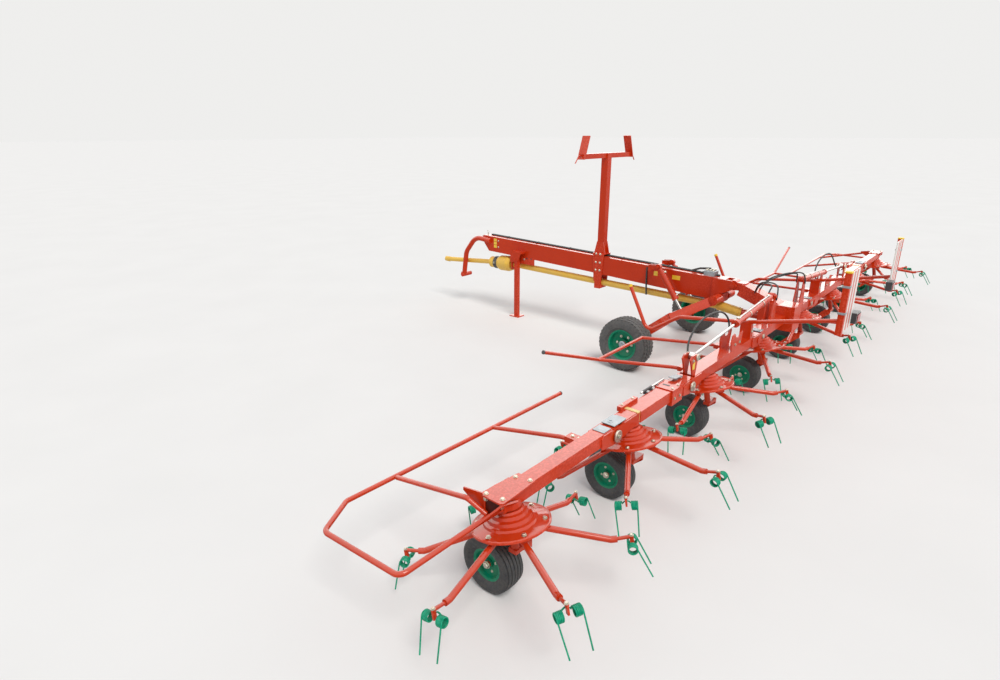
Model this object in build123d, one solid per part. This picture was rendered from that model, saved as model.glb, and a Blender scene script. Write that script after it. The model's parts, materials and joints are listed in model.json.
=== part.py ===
from build123d import *
import math
import os

os.makedirs("parts", exist_ok=True)

# Frame: millimetres, forward is -Y, the machine's left is +X, up is +Z, floor at z = 0.
# The row of rotors stands at y = 0 in this source; SHIFT_Y moves everything to the stored origin.
SHIFT_Y = 2375.0

# rotors
ROTOR_SPACING = 1400.0
ROTOR_HEIGHT = 567.0
ROTOR_TILT = 12.0
ROTOR_COUNT = 8
ARMS = 6
ARM_PHASE = 3.0
DISC_RADIUS = 248.0
ARM_RADIUS = 20.0
ELBOW_REACH = 592.0
ELBOW_DROP = 166.0
COIL_RADIUS = 32.0
COIL_WIDTH = 44.0
COIL_SIDE = 52.0
COIL_REACH = 702.0
COIL_DROP = 200.0
TINE_REACH = 796.0
TINE_DROP = 376.0
TINE_WIRE = 5.0
AXLE_RADIUS = 27.0
RUNNING_GAP = 0.1

# wheels under the rotors
SMALL_TYRE_RADIUS = 200.0
SMALL_TYRE_WIDTH = 165.0
SMALL_RIM_RADIUS = 112.0
SMALL_WHEEL_Y = -150.0

# transport wheels
BIG_TYRE_RADIUS = 332.0
BIG_TYRE_WIDTH = 250.0
BIG_RIM_RADIUS = 190.0
BIG_WHEEL = (993.0, -1486.0, 332.0)

# beams of the rotor row
BEAM_TOP = 790.0
BEAM_BOTTOM = 696.0
BEAM_FRONT = -75.0
BEAM_BACK = 60.0
SLIM_FRONT = -62.0
SLIM_BACK = 46.0
HINGE_HEIGHT = 725.0
ROTORS = {
    "centre": ROTOR_SPACING * 0.5,
    "inner": ROTOR_SPACING * 1.5,
    "middle": ROTOR_SPACING * 2.5,
    "outer": ROTOR_SPACING * 3.5,
}
HINGES = {
    "inner": ROTORS["centre"] + 300.0,
    "middle": ROTORS["inner"] + 500.0,
    "outer": ROTORS["middle"] + 300.0,
}
INNER_END = 86.0
OUTER_END = 44.0
CHEEK = 11.0
CHEEK_GAP = 0.5
HINGE_PIN = 16.0
BEAM_END = ROTORS["outer"] + 150.0
RAIL_X = HINGES["inner"] + 200.0
RAIL_LOW = 956.0

# drawbar
DRAWBAR_WIDTH = 150.0
DRAWBAR_DEPTH = 245.0
DRAWBAR_REAR_DEPTH = 272.0
DRAWBAR_FRONT = (-4720.0, 1215.0)
DRAWBAR_REAR = (-700.0, 1090.0)
KNUCKLE = (-605.0, 1030.0)
SWING_PIVOT = (-745.0, 851.0)
MAST_Y = -2515.0
MAST_TOP = 2530.0
STAND_PIVOT = (-3960.0, 930.0)
STAND_X = 135.0
HITCH = (-5175.0, 500.0)
NECK_X = 92.0

# driveline: 35 mm spline socket at its front end
PTO_FRONT = -5700.0
PTO_BORE = 17.5
SHAFT_RADIUS = 46.0
SHAFT_FRONT = (-4210.0, 800.0)
SHAFT_REAR = (-760.0, 735.0)
BELL_FRONT = -4615.0
BELL_BACK = -4160.0
TOW_EYE_BORE = 20.5

# cylinders
FOLD_BASE = (HINGES["inner"] - 480.0, 0.0, 1095.0)
FOLD_EYE = (HINGES["middle"] - 130.0, 0.0, 945.0)
FOLD_BARREL = 1015.0
LIFT_X = 190.0
LIFT_BASE = (-1533.0, 1150.0)
LIFT_EYE = (-1164.0, 633.0)


def vec(point):
    return Vector(*point)


def rod(start, end, radius):
    """Round bar from start to end."""
    a, b = vec(start), vec(end)
    plane = Plane(origin=a, z_dir=b - a)
    return extrude(plane * Circle(radius), amount=(b - a).length)


def bar(start, end, width, depth, side=(1, 0, 0)):
    """Box beam from start to end: width along side, depth across it."""
    a, b = vec(start), vec(end)
    plane = Plane(origin=a, x_dir=vec(side), z_dir=b - a)
    return extrude(plane * Rectangle(width, depth), amount=(b - a).length)


def box(x0, x1, y0, y1, z0, z1):
    """Box between limits."""
    size = Box(abs(x1 - x0), abs(y1 - y0), abs(z1 - z0))
    return Pos((x0 + x1) / 2, (y0 + y1) / 2, (z0 + z1) / 2) * size


def bent_tube(points, radius, bend):
    """Tube of straight runs and arcs through points."""
    path = FilletPolyline(*points, radius=bend)
    section = Plane(origin=path @ 0, z_dir=path % 0) * Circle(radius)
    return sweep(section, path=path)


def x_plate(outline, x, thick):
    """Plate across X from (y, z) corners, centred on x."""
    face = make_face(Polyline(*[(x - thick / 2, y, z) for y, z in outline], close=True))
    return extrude(face, amount=thick, dir=(1, 0, 0))


def y_plate(outline, y, thick):
    """Plate across Y from (x, z) corners, centred on y."""
    face = make_face(Polyline(*[(x, y - thick / 2, z) for x, z in outline], close=True))
    return extrude(face, amount=thick, dir=(0, 1, 0))


def turned(profile, close=True):
    """Solid of revolution about local Z from (radius, height) corners."""
    face = make_face(Polyline(*[(r, 0, z) for r, z in profile], close=close))
    return revolve(face, axis=Axis.Z)


def along_x(shape, x, y, z):
    """Lays a shape made about local Z on the X axis at a point."""
    return Pos(x, y, z) * Rot(0, 90, 0) * shape


def mirrored(shape, side):
    return shape if side > 0 else mirror(shape, about=Plane.YZ)


def fuse(pieces):
    whole = pieces[0]
    for piece in pieces[1:]:
        whole = whole + piece
    return whole


def write(name, shape):
    export_step(Pos(0, SHIFT_Y, 0) * shape, f"parts/{name}.step")


# Rotors
def rotor_place(x):
    return Pos(x, 0, ROTOR_HEIGHT) * Rot(ROTOR_TILT, 0, 0)


def rotor_disc():
    """Dish with a raised lip and a dome that steps up to the gear housing."""
    bore = AXLE_RADIUS + RUNNING_GAP
    top = [(DISC_RADIUS, -14), (DISC_RADIUS, 0), (242, 4), (234, -2), (170, 12), (164, 26), (142, 32),
           (137, 52), (118, 58),
           (113, 78), (97, 84), (92, 98), (bore, 98)]
    under = [(bore, -34), (96, -34), (100, -12), (226, -14), (234, -14)]
    return turned(top + under)


def rotor_arm(angle):
    """Straight tube down to its elbow, then the slimmer stub that carries a pair of coils."""
    tube = bent_tube([(112, 0, -34), (ELBOW_REACH - 12, 0, -ELBOW_DROP + 4),
                      (ELBOW_REACH + 26, 0, -ELBOW_DROP + 6)], ARM_RADIUS, 30)
    stub = rod((ELBOW_REACH + 20, 0, -ELBOW_DROP + 6), (COIL_REACH + 6, 0, -ELBOW_DROP + 18), 11)
    hanger = box(COIL_REACH - 12, COIL_REACH + 12, -6, 6, -COIL_DROP - 4, -ELBOW_DROP + 24)
    clamp = box(150, 214, -26, 26, -44, -14)
    return Rot(0, 0, angle) * (tube + stub + hanger + clamp)


def tine_pair(angle):
    """Two coils side by side, each with its long leg."""
    pieces = []
    for side in (-1, 1):
        coil = Cylinder(COIL_RADIUS, COIL_WIDTH)
        pieces.append(Pos(COIL_REACH, side * COIL_SIDE, -COIL_DROP) * Rot(90, 0, 0) * coil)
        core = rod((COIL_REACH, side * (6 + RUNNING_GAP), -COIL_DROP + 4),
                   (COIL_REACH, side * COIL_SIDE, -COIL_DROP + 4), 9)
        pieces.append(core)
        knee = (COIL_REACH + COIL_RADIUS - 8, side * COIL_SIDE, -COIL_DROP - 6)
        tip = (TINE_REACH, side * (COIL_SIDE + 14), -TINE_DROP)
        pieces.append(rod(knee, tip, TINE_WIRE))
    place = Rot(0, 0, angle)
    return [place * fuse(pieces[:3]), place * fuse(pieces[3:])]


def rotor_phase(index):
    """Neighbours turn opposite ways and their arms pass between each other."""
    return ARM_PHASE if index % 2 == 0 else 30.0 - ARM_PHASE


def rotor(index, x):
    angles = [rotor_phase(index) + 360.0 / ARMS * k for k in range(ARMS)]
    arms = fuse([rotor_disc()] + [rotor_arm(a) for a in angles])
    hollow = Cylinder(AXLE_RADIUS + RUNNING_GAP, 400)
    write(f"rotor_{index + 1}", rotor_place(x) * (arms - hollow))
    tines = [rotor_place(x) * half for a in angles for half in tine_pair(a)]
    write(f"tines_{index + 1}", Compound(tines))


# Wheels
def small_tyre():
    half, out, rim = SMALL_TYRE_WIDTH / 2, SMALL_TYRE_RADIUS, SMALL_RIM_RADIUS
    return turned([(rim, -62), (rim + 40, -half), (out - 35, -half), (out - 6, -half + 18),
                   (out, -half + 34),
                   (out, half - 34), (out - 6, half - 18), (out - 35, half), (rim + 40, half), (rim, 62)])


def small_rim():
    rim = SMALL_RIM_RADIUS
    return turned([(12 + RUNNING_GAP, -46), (30, -46), (30, 10), (88, 22), (94, -56), (rim, -62),
                   (rim, 62), (96, 58),
                   (88, 34), (30, 30), (30, 40), (12 + RUNNING_GAP, 40)])


def big_tyre():
    half, out, rim = BIG_TYRE_WIDTH / 2, BIG_TYRE_RADIUS, BIG_RIM_RADIUS
    return turned([(rim, -98), (rim + 34, -half), (out - 62, -half), (out - 12, -half + 24),
                   (out, -half + 48),
                   (out, half - 48), (out - 12, half - 24), (out - 62, half), (rim + 34, half), (rim, 98)])


def big_rim():
    rim = BIG_RIM_RADIUS
    return turned([(25 + RUNNING_GAP, -60), (60, -60), (60, 0), (158, 26), (166, -92), (rim, -98),
                   (rim, 98), (168, 92),
                   (158, 40), (60, 16), (60, 60), (25 + RUNNING_GAP, 60)])


def wheels(index, x, side):
    y, z = SMALL_WHEEL_Y, SMALL_TYRE_RADIUS
    write(f"small_tyre_{index + 1}", mirrored(along_x(small_tyre(), abs(x), y, z), side))
    write(f"small_rim_{index + 1}", mirrored(along_x(small_rim(), abs(x), y, z), side))


# Sections of the rotor row
def rotor_carrier(x):
    """Gear housing under the beam, axle down through the rotor, and wheel leg, on the left side."""
    place = rotor_place(x)
    housing = place * (Pos(0, 0, 130) * Cylinder(84, 50) + Pos(0, 0, 105) * Cylinder(60, 10))
    axle = place * (Pos(0, 0, -43) * Cylinder(AXLE_RADIUS, 306))
    foot_y = 186.0 * math.sin(math.radians(ROTOR_TILT))
    foot_z = ROTOR_HEIGHT - 186.0 * math.cos(math.radians(ROTOR_TILT))
    block = box(x - 125, x + 30, foot_y - 30, foot_y + 30, foot_z - 16, foot_z + 14)
    wheel_y, wheel_z = SMALL_WHEEL_Y, SMALL_TYRE_RADIUS
    leg = x_plate([(foot_y + 30, foot_z + 14), (foot_y - 40, foot_z + 14), (wheel_y - 30, wheel_z + 10),
                   (wheel_y - 24, wheel_z - 26), (wheel_y + 24, wheel_z - 26), (foot_y + 30,
                                                                                foot_z - 40)], x - 117, 16)
    stub = rod((x - 125, wheel_y, wheel_z), (x + 44, wheel_y, wheel_z), 12)
    collar = rod((x - 110, wheel_y, wheel_z), (x - 52, wheel_y, wheel_z), 22)
    nut = rod((x + 42, wheel_y, wheel_z), (x + 56, wheel_y, wheel_z), 20)
    return [housing, axle, block, leg, stub, collar, nut]


def beam(x0, x1):
    return box(x0, x1, BEAM_FRONT, BEAM_BACK, BEAM_BOTTOM, BEAM_TOP)


def slim_beam(x0, x1):
    return box(x0, x1, SLIM_FRONT, SLIM_BACK, BEAM_BOTTOM, BEAM_TOP)


def fork(x, front, back, root, reach):
    """Cheek plates that take the next section's end between them, with the pin and its discs."""
    z = HINGE_HEIGHT
    outline = [(x - root, BEAM_TOP - 4), (x + reach - 22, BEAM_TOP - 4), (x + reach, BEAM_TOP - 26),
               (x + reach - 8, z - 46),
               (x + 30, z - 64), (x - 50, z - 60), (x - root, BEAM_BOTTOM + 6)]
    pieces = []
    for face, out in ((front, -1), (back, 1)):
        pieces.append(y_plate(outline, face + out * (CHEEK_GAP + CHEEK / 2), CHEEK))
        disc_at = face + out * (CHEEK_GAP + CHEEK)
        pieces.append(rod((x, disc_at - out * 2, z), (x, disc_at + out * 10, z), 34))
    pieces.append(rod((x, front - 8, z), (x, back + 8, z), HINGE_PIN))
    return pieces


def fork_filler(x, front, back):
    """Blocks that join the cheeks to the beam where the beam ends."""
    edge = x - INNER_END
    width = CHEEK + CHEEK_GAP
    return [box(edge - 90, edge, front - width, back + width, BEAM_BOTTOM + 6, BEAM_TOP - 4)]


def pin_hole(x):
    return rod((x, -200, HINGE_HEIGHT), (x, 200, HINGE_HEIGHT), HINGE_PIN + RUNNING_GAP)


def guard_tube(points, bend=40.0, radius=17.0):
    return bent_tube(points, radius, bend)


def rod_eye_bracket():
    """Raised plates that hold the folding cylinder's rod eye, wide at the top."""
    ex, ey, ez = FOLD_EYE
    outline = [(ex + 8, BEAM_TOP - 10), (ex + 58, BEAM_TOP - 10), (ex + 96, ez - 60), (ex + 128, ez + 6),
               (ex + 92, ez + 34),
               (ex, ez + 30), (ex - 26, ez + 6), (ex - 20, ez - 20)]
    pieces = []
    for side in (-1, 1):
        y = side * 36
        pieces.append(y_plate(outline, y, 14))
        pieces.append(rod((ex, side * 24, ez), (ex, side * 52, ez), 18 - RUNNING_GAP))
    return pieces


def section_inner():
    rotor_x = ROTORS["inner"]
    start, end = HINGES["inner"] - OUTER_END, HINGES["middle"] - INNER_END
    pieces = [beam(start, end) - pin_hole(HINGES["inner"])]
    pieces += rotor_carrier(rotor_x)
    pieces += fork(HINGES["middle"], BEAM_FRONT, BEAM_BACK, 200, 150)
    pieces += fork_filler(HINGES["middle"], BEAM_FRONT, BEAM_BACK)
    pieces += rod_eye_bracket()
    # cradle plates beside the cylinder
    cradle = HINGES["inner"] + 560
    for y in (-54, 54):
        pieces.append(y_plate([(cradle - 60, BEAM_TOP - 10), (cradle + 150, BEAM_TOP - 10),
                               (cradle + 175, 880), (cradle + 152, 950),
                               (cradle + 105, 960), (cradle + 60, 905), (cradle - 20, 898),
                               (cradle - 68, 955), (cradle - 95, 930)],
                              y, 12))
    # crop guard ahead of the rotor, on its two lugs
    near, far = rotor_x - 600, rotor_x + 200
    near_strut = [(near, BEAM_FRONT + 20, 748), (near, -260, 738), (near + 145, -929, 695)]
    far_strut = [(far, BEAM_FRONT + 20, 740), (far, -240, 728), (far + 214, -921, 694),
                 (far + 1008, -988, 974)]
    pieces.append(guard_tube(near_strut))
    pieces.append(guard_tube(far_strut))
    pieces.append(rod((near + 140, -929, 695), (far + 214, -921, 694), 17))
    for x in (near, far):
        pieces.append(box(x - 45, x + 45, BEAM_FRONT - 110, BEAM_FRONT + 10, 722, 764))
    # side rail under the cylinder, with its rear post
    x = RAIL_X
    rail = [(x, -1361, 1125), (x, -1104, 620), (x, -729, 866), (x, 0, RAIL_LOW), (x, 810, 1134)]
    pieces.append(bent_tube(rail, 20, 90))
    pieces.append(box(x - 25, x + 25, 805, 860, 1000, 1598))
    pieces.append(box(x - 25, x + 25, -56, 56, BEAM_TOP - 10, RAIL_LOW - 2))
    return fuse(pieces)


def section_middle():
    start, end = HINGES["middle"] - OUTER_END, HINGES["outer"] - INNER_END
    pieces = [beam(start, end - 260), slim_beam(end - 280, end)]
    pieces.append(box(HINGES["middle"] + 175, HINGES["middle"] + 360, BEAM_FRONT - 14, BEAM_BACK + 14,
                      BEAM_BOTTOM - 34, BEAM_TOP + 8))
    body = fuse(pieces) - pin_hole(HINGES["middle"])
    clip = ROTORS["middle"] - 210
    pieces = [body] + rotor_carrier(ROTORS["middle"])
    pieces += fork(HINGES["outer"], SLIM_FRONT, SLIM_BACK, 330, 190)
    pieces += fork_filler(HINGES["outer"], SLIM_FRONT, SLIM_BACK)
    # small clip on the beam's front edge, where the next guard folds down
    pieces.append(box(clip, clip + 250, BEAM_FRONT - 26, BEAM_FRONT + 12, BEAM_TOP - 12, BEAM_TOP + 26))
    return fuse(pieces)


def triangle(a, b, c, thick):
    """Flat plate through three points."""
    face = make_face(Polyline(a, b, c, close=True))
    across = (vec(b) - vec(a)).cross(vec(c) - vec(a)).normalized()
    return extrude(face, amount=thick / 2, dir=across, both=True)


def section_outer():
    start, end = HINGES["outer"] - OUTER_END, BEAM_END
    x, lug = ROTORS["outer"], ROTORS["outer"] - 850
    pieces = [slim_beam(start, end - 30) - pin_hole(HINGES["outer"])]
    pieces += rotor_carrier(x)
    # rounded top plate and the open V of plates under its end
    top_plate = [(end + 14, -70), (end - 4, -100), (end - 120, -96), (end - 310, -76), (end - 310, 58),
                 (end - 60, 72),
                 (end + 4, 72), (end + 14, 56)]
    face = make_face(Polyline(*[(px, py, BEAM_TOP - 3) for px, py in top_plate], close=True))
    pieces.append(extrude(face, amount=11, dir=(0, 0, 1)))
    pieces.append(x_plate([(-262, 742), (-262, 762), (-90, BEAM_TOP), (70, BEAM_TOP), (72, 740),
                           (-40, 644), (-92, 644)], end - 16, 10))
    pieces.append(box(end - 240, end - 16, -98, -62, 740, BEAM_TOP))
    pieces.append(triangle((end + 6, 70, BEAM_TOP), (end - 150, 56, 735), (end + 160, -86, 606), 12))
    # end guard on its three legs
    guard = [(x - 1742, -905, 557), (x + 530, -935, 560), (x + 790, -790, 545), (x + 740, -150, 545),
             (x + 130, -50, 655)]
    pieces.append(guard_tube(guard, 60))
    pieces.append(guard_tube([(x + 138, -905, 562), (x + 180, -190, 738), (x + 150, -60, 668)], 40))
    pieces.append(guard_tube([(lug + 3, -905, 560), (lug - 10, -260, 700), (lug - 10, -50, 722)], 40))
    pieces.append(box(lug - 40, lug + 40, SLIM_FRONT - 130, SLIM_FRONT + 10, 704, 748))
    return fuse(pieces)


def section_centre():
    end = HINGES["inner"] - INNER_END
    pieces = [beam(-end, end)]
    for side in (-1, 1):
        half = rotor_carrier(ROTORS["centre"]) + fork(HINGES["inner"], BEAM_FRONT, BEAM_BACK, 200, 170)
        half += fork_filler(HINGES["inner"], BEAM_FRONT, BEAM_BACK)
        bx, by, bz = FOLD_BASE
        for y in (-34, 34):
            half.append(y_plate([(bx - 90, BEAM_TOP - 10), (bx + 90, BEAM_TOP - 10), (bx + 26, bz + 10),
                                 (bx, bz + 28),
                                 (bx - 26, bz + 10)], y, 12))
            half.append(rod((bx, -50, bz), (bx, 50, bz), 18 - RUNNING_GAP))
        pieces += [mirrored(piece, side) for piece in half]
    # main gear housing and the sloping arm up to the knuckle
    pieces.append(box(-130, 130, -250, 150, 610, 900))
    pieces.append(rod((0, -470, 700), (0, -240, 700), 45))
    ky, kz = KNUCKLE
    pieces.append(bar((0, ky + 95, kz - 35), (0, -60, 830), 180, 150))
    pieces.append(rod((-60, ky, kz), (60, ky, kz), 62))
    pieces.append(box(-60, 60, ky, ky + 150, kz - 55, kz + 40))
    hole = rod((-200, ky, kz), (200, ky, kz), 29 + RUNNING_GAP)
    return fuse(pieces) - hole


# Chassis
def drawbar_top(y):
    (y0, z0), (y1, z1) = DRAWBAR_FRONT, DRAWBAR_REAR
    return z0 + (y - y0) * (z1 - z0) / (y1 - y0)


def drawbar():
    half, depth = DRAWBAR_WIDTH / 2, DRAWBAR_DEPTH
    (fy, fz), (ry, rz) = DRAWBAR_FRONT, DRAWBAR_REAR
    waist, hip = -2800.0, -1100.0
    beam_side = [(fy, fz), (fy - 60, fz - 40), (fy + 110, fz - depth), (waist, drawbar_top(waist) - depth),
                 (hip, drawbar_top(hip) - DRAWBAR_REAR_DEPTH), (ry - 120, rz - DRAWBAR_REAR_DEPTH),
                 (ry, rz - 60), (ry, rz)]
    pieces = [x_plate(beam_side, 0, DRAWBAR_WIDTH)]
    # curved neck down to the hitch, beside the shaft
    hy, hz = HITCH
    neck = [(NECK_X, fy + 160, fz - 78), (NECK_X, hy + 285, fz - 50), (NECK_X, hy + 65, hz + 400),
            (NECK_X, hy, hz)]
    pieces.append(bent_tube(neck, 40, 230))
    pieces.append(rod((-60, hy, hz), (NECK_X + 50, hy, hz), 36))
    pieces.append(box(-45, 45, hy - 60, hy, hz - 20, hz + 20))
    pieces.append(Pos(0, hy - 95, hz) * Cylinder(52, 40))
    # knuckle lugs and pivots of the swing arms
    ky, kz = KNUCKLE
    py, pz = SWING_PIVOT
    for side in (-1, 1):
        pieces.append(x_plate([(ry - 150, rz), (ry, rz), (ky - 10, kz + 58), (ky + 58, kz), (ky, kz - 58),
                               (ry - 150, rz - 240)],
                              side * 80, 24))
    pieces.append(rod((-100, ky, kz), (100, ky, kz), 29))
    pieces.append(rod((-290, py, pz), (290, py, pz), 28))
    pieces.append(box(-85, 85, py - 60, py + 45, pz - 50, pz + 60))
    # clevis plates of the lift cylinders
    cy, cz = LIFT_BASE
    for side in (-1, 1):
        for off in (-32, 32):
            x = side * (LIFT_X + off)
            pieces.append(x_plate([(cy - 130, cz - 60), (cy - 130, cz + 16), (cy, cz + 30), (cy + 28, cz),
                                   (cy, cz - 34)], x, 12))
            pieces.append(rod((side * LIFT_X, cy, cz), (x + side * math.copysign(18, off), cy, cz),
                              18 - RUNNING_GAP))
        pieces.append(box(side * 74, side * (LIFT_X + 38), cy - 130, cy - 80, cz - 60, cz - 20))
    # stand bracket and the shaft bearer under the mast
    sy, sz = STAND_PIVOT
    for off in (-44, 44):
        pieces.append(x_plate([(sy - 60, sz + 120), (sy + 120, sz + 120), (sy + 60, sz - 20),
                               (sy, sz - 40), (sy - 40, sz - 20)],
                              STAND_X + off, 10))
        pieces.append(rod((STAND_X, sy, sz), (STAND_X + off * 1.25, sy, sz), 15 - RUNNING_GAP))
    pieces.append(box(60, STAND_X + 49, sy - 60, sy + 120, sz + 90, sz + 120))
    pieces.append(box(64, 78, BELL_BACK + 10, BELL_BACK + 490, 850, 960))
    # bearing plate of the shaft, behind the cone guard
    plate = box(-70, 70, BELL_BACK + 25, BELL_BACK + 45, 730, 960)
    pieces.append(plate - shaft_tube(SHAFT_RADIUS + 0.05))
    eye_hole = Pos(0, hy - 95, hz) * Cylinder(TOW_EYE_BORE, 60)
    return fuse(pieces) - eye_hole


def mast():
    y, top = MAST_Y, MAST_TOP
    base = drawbar_top(y)
    half = DRAWBAR_WIDTH / 2
    pieces = [box(-45, 45, y - 50, y + 50, base + 26, top)]
    pieces.append(box(-half - 12, half + 12, y - 90, y + 90, base + 26, base + 40))
    for side in (-1, 1):
        pieces.append(x_plate([(y - 90, base + 40), (y + 90, base + 40), (y + 60, base - 360),
                               (y - 60, base - 360)],
                              side * (half + 6), 12))
        pieces.append(x_plate([(y - 50, base + 200), (y + 50, base + 200), (y + 90, base + 30),
                               (y - 90, base + 30)], side * 51, 12))
    bearer = box(-half - 12, half + 12, y - 45, y + 45, base - 460, base - 340)
    pieces.append(bearer - shaft_tube(SHAFT_RADIUS + 0.05))
    pieces.append(box(-596, 596, y - 30, y + 30, top - 64, top))
    for side in (-1, 1):
        pieces.append(bar((side * 600, y, top - 66), (side * 500, y, top + 218), 14, 112))
        pieces.append(bent_tube([(side * 590, y, top - 20), (side * 660, y, top - 22),
                                 (side * 730, y, top - 110)], 7, 30))
    return fuse(pieces)


def shaft_tube(radius):
    """The long guarded shaft's line under the drawbar."""
    return rod((0, *SHAFT_FRONT), (0, *SHAFT_REAR), radius)


def driveline():
    """Guarded shafts: tube ahead of the hitch, two bell guards, and the long tube under the drawbar."""
    bell_z = SHAFT_FRONT[1] - 22
    bell_length = BELL_BACK - BELL_FRONT
    pieces = [rod((0, -5640, 690), (0, BELL_FRONT + 20, bell_z), 38)]
    bells = [(0, 0), (78, 0), (90, 14), (88, 105), (76, 112), (76, 168), (98, 176), (120, 225), (123, 390),
             (100, bell_length),
             (0, bell_length)]
    pieces.append(Plane(origin=(0, BELL_FRONT, bell_z), z_dir=(0, bell_length, 22)) * turned(bells))
    pieces.append(shaft_tube(SHAFT_RADIUS))
    pieces.append(rod((0, SHAFT_REAR[0] - 15, SHAFT_REAR[1]), (0, -510, 700), 58))
    pieces.append(rod((0, -530, 700), (0, -474, 700), 52))
    pieces.append(rod((0, PTO_FRONT, 690), (0, -5610, 690), 44))
    return fuse(pieces) - rod((0, PTO_FRONT - 5, 690), (0, PTO_FRONT + 75, 690), PTO_BORE)


def hoses():
    lines = []
    for x in (-64, -46, -28):
        y0, y1 = -4640.0, -820.0
        lines.append(rod((x, y0, drawbar_top(y0) + 8.02), (x, y1, drawbar_top(y1) + 8.02), 8))
    return Compound(lines)


def stand():
    y, z = STAND_PIVOT
    leg = box(STAND_X - 32, STAND_X + 32, y - 32, y + 32, 14, z + 34)
    foot = box(STAND_X - 75, STAND_X + 75, y - 90, y + 90, 0, 16)
    hole = rod((STAND_X - 100, y, z), (STAND_X + 100, y, z), 15)
    return leg + foot - hole


def swing_arm():
    py, pz = SWING_PIVOT
    wx, wy, wz = BIG_WHEEL
    pivot_hole = rod((90, py, pz), (300, py, pz), 28 + RUNNING_GAP)
    hub = rod((100, py, pz), (280, py, pz), 58) - pivot_hole
    knee = (640, -1120, 640)
    arm = bar((190, py - 40, pz - 20), knee, 110, 110)
    lower = bar((600, -1090, 662), (wx - 213, wy + 40, wz + 30), 110, 110)
    stub = rod((wx - 273, wy, wz), (wx + 63, wy, wz), 25)
    nut = rod((wx + 62, wy, wz), (wx + 82, wy, wz), 42)
    boss = rod((wx - 293, wy, wz), (wx - 173, wy, wz), 62)
    ey, ez = LIFT_EYE
    pieces = [hub, arm - pivot_hole, lower, stub, nut, boss]
    for off in (-30, 30):
        x = LIFT_X + off
        pieces.append(x_plate([(ey - 40, ez + 10), (ey, ez + 30), (ey + 60, ez + 20), (ey + 385, pz - 15),
                               (ey + 385, pz - 75),
                               (ey + 20, ez - 40), (ey - 30, ez - 30)], x, 12))
        pieces.append(rod((x, ey, ez), (x + math.copysign(16, off), ey, ez), 16))
    return fuse(pieces)


def cylinder(base, eye, barrel_length, barrel_radius, rod_start, rod_radius, eye_width, across):
    """Barrel with base eye, and rod with its own eye, both eyes lying across the given axis."""
    a, b = vec(base), vec(eye)
    along = (b - a).normalized()
    side = vec(across)

    def eyelet(at, radius):
        return rod(at - side * (eye_width / 2), at + side * (eye_width / 2), radius)

    barrel = rod(a + along * 66, a + along * barrel_length, barrel_radius) + rod(a, a + along * 70,
                                                                                 22) + eyelet(a, 36)
    bore = rod(a + along * 70, a + along * (barrel_length + 10), rod_radius + RUNNING_GAP)
    gland = rod(a + along * (barrel_length - 40), a + along * (barrel_length + 6), barrel_radius + 5)
    pin_a = rod(a - side * 100, a + side * 100, 18)
    barrel = barrel + gland - bore - pin_a
    piston = rod(a + along * rod_start, b - along * 20, rod_radius)
    head = eyelet(b, 34) - rod(b - side * 100, b + side * 100, 18)
    return barrel, piston + head


def marker_board():
    edge = RAIL_X - 25
    panel = box(edge - 282, edge, 845, 857, 1026, 1590)
    lamp = box(edge - 415, edge - 275, 839, 905, 1050, 1150)
    return panel + lamp


# All nodes
def build():
    for index in range(ROTOR_COUNT):
        x = ROTOR_SPACING * ((ROTOR_COUNT - 1) / 2 - index)
        side = 1 if x > 0 else -1
        rotor(index, x)
        wheels(index, x, side)
    write("centre_section", section_centre())
    fold_barrel, fold_rod = cylinder(FOLD_BASE, FOLD_EYE, FOLD_BARREL, 34, 925, 14, 46, (0, 1, 0))
    base = (LIFT_X, *LIFT_BASE)
    eye = (LIFT_X, *LIFT_EYE)
    lift_barrel, lift_rod = cylinder(base, eye, 470, 39, 75, 17, 46, (1, 0, 0))
    one_side = {
        "inner_section": section_inner(),
        "middle_section": section_middle(),
        "outer_section": section_outer(),
        "fold_barrel": fold_barrel,
        "fold_rod": fold_rod,
        "lift_barrel": lift_barrel,
        "lift_rod": lift_rod,
        "swing_arm": swing_arm(),
        "transport_tyre": along_x(big_tyre(), *BIG_WHEEL),
        "transport_rim": along_x(big_rim(), *BIG_WHEEL),
        "marker_board": marker_board(),
    }
    for name, shape in one_side.items():
        write(f"{name}_left", shape)
        write(f"{name}_right", mirrored(shape, -1))
    write("drawbar", drawbar())
    write("mast", mast())
    write("driveline", driveline())
    write("hoses", hoses())
    write("parking_stand", stand())


build()
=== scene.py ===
import json
import math
import bpy
from mathutils import Matrix, Vector


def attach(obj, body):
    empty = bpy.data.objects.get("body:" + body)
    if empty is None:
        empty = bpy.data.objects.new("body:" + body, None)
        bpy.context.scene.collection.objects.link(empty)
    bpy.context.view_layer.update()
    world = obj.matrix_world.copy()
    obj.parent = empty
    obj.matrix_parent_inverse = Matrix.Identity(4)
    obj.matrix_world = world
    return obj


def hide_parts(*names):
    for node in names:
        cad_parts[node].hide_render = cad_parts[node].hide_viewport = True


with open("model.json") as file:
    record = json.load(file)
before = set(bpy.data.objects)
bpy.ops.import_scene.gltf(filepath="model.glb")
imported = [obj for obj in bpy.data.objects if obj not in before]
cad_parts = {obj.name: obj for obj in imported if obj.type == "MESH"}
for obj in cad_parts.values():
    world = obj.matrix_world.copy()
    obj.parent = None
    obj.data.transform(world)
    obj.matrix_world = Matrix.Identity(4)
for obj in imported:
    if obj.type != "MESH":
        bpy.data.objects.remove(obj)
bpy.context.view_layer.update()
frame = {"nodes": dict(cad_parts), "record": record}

# Shared sizes in metres and degrees. The rotor row stands at y = 0, and SHIFT moves it to the stored frame.
SHIFT = 2.375
SIDES = (("left", 1), ("right", -1))
UP = (0, 0, 1)
REAR = (0, 1, 0)

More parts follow.
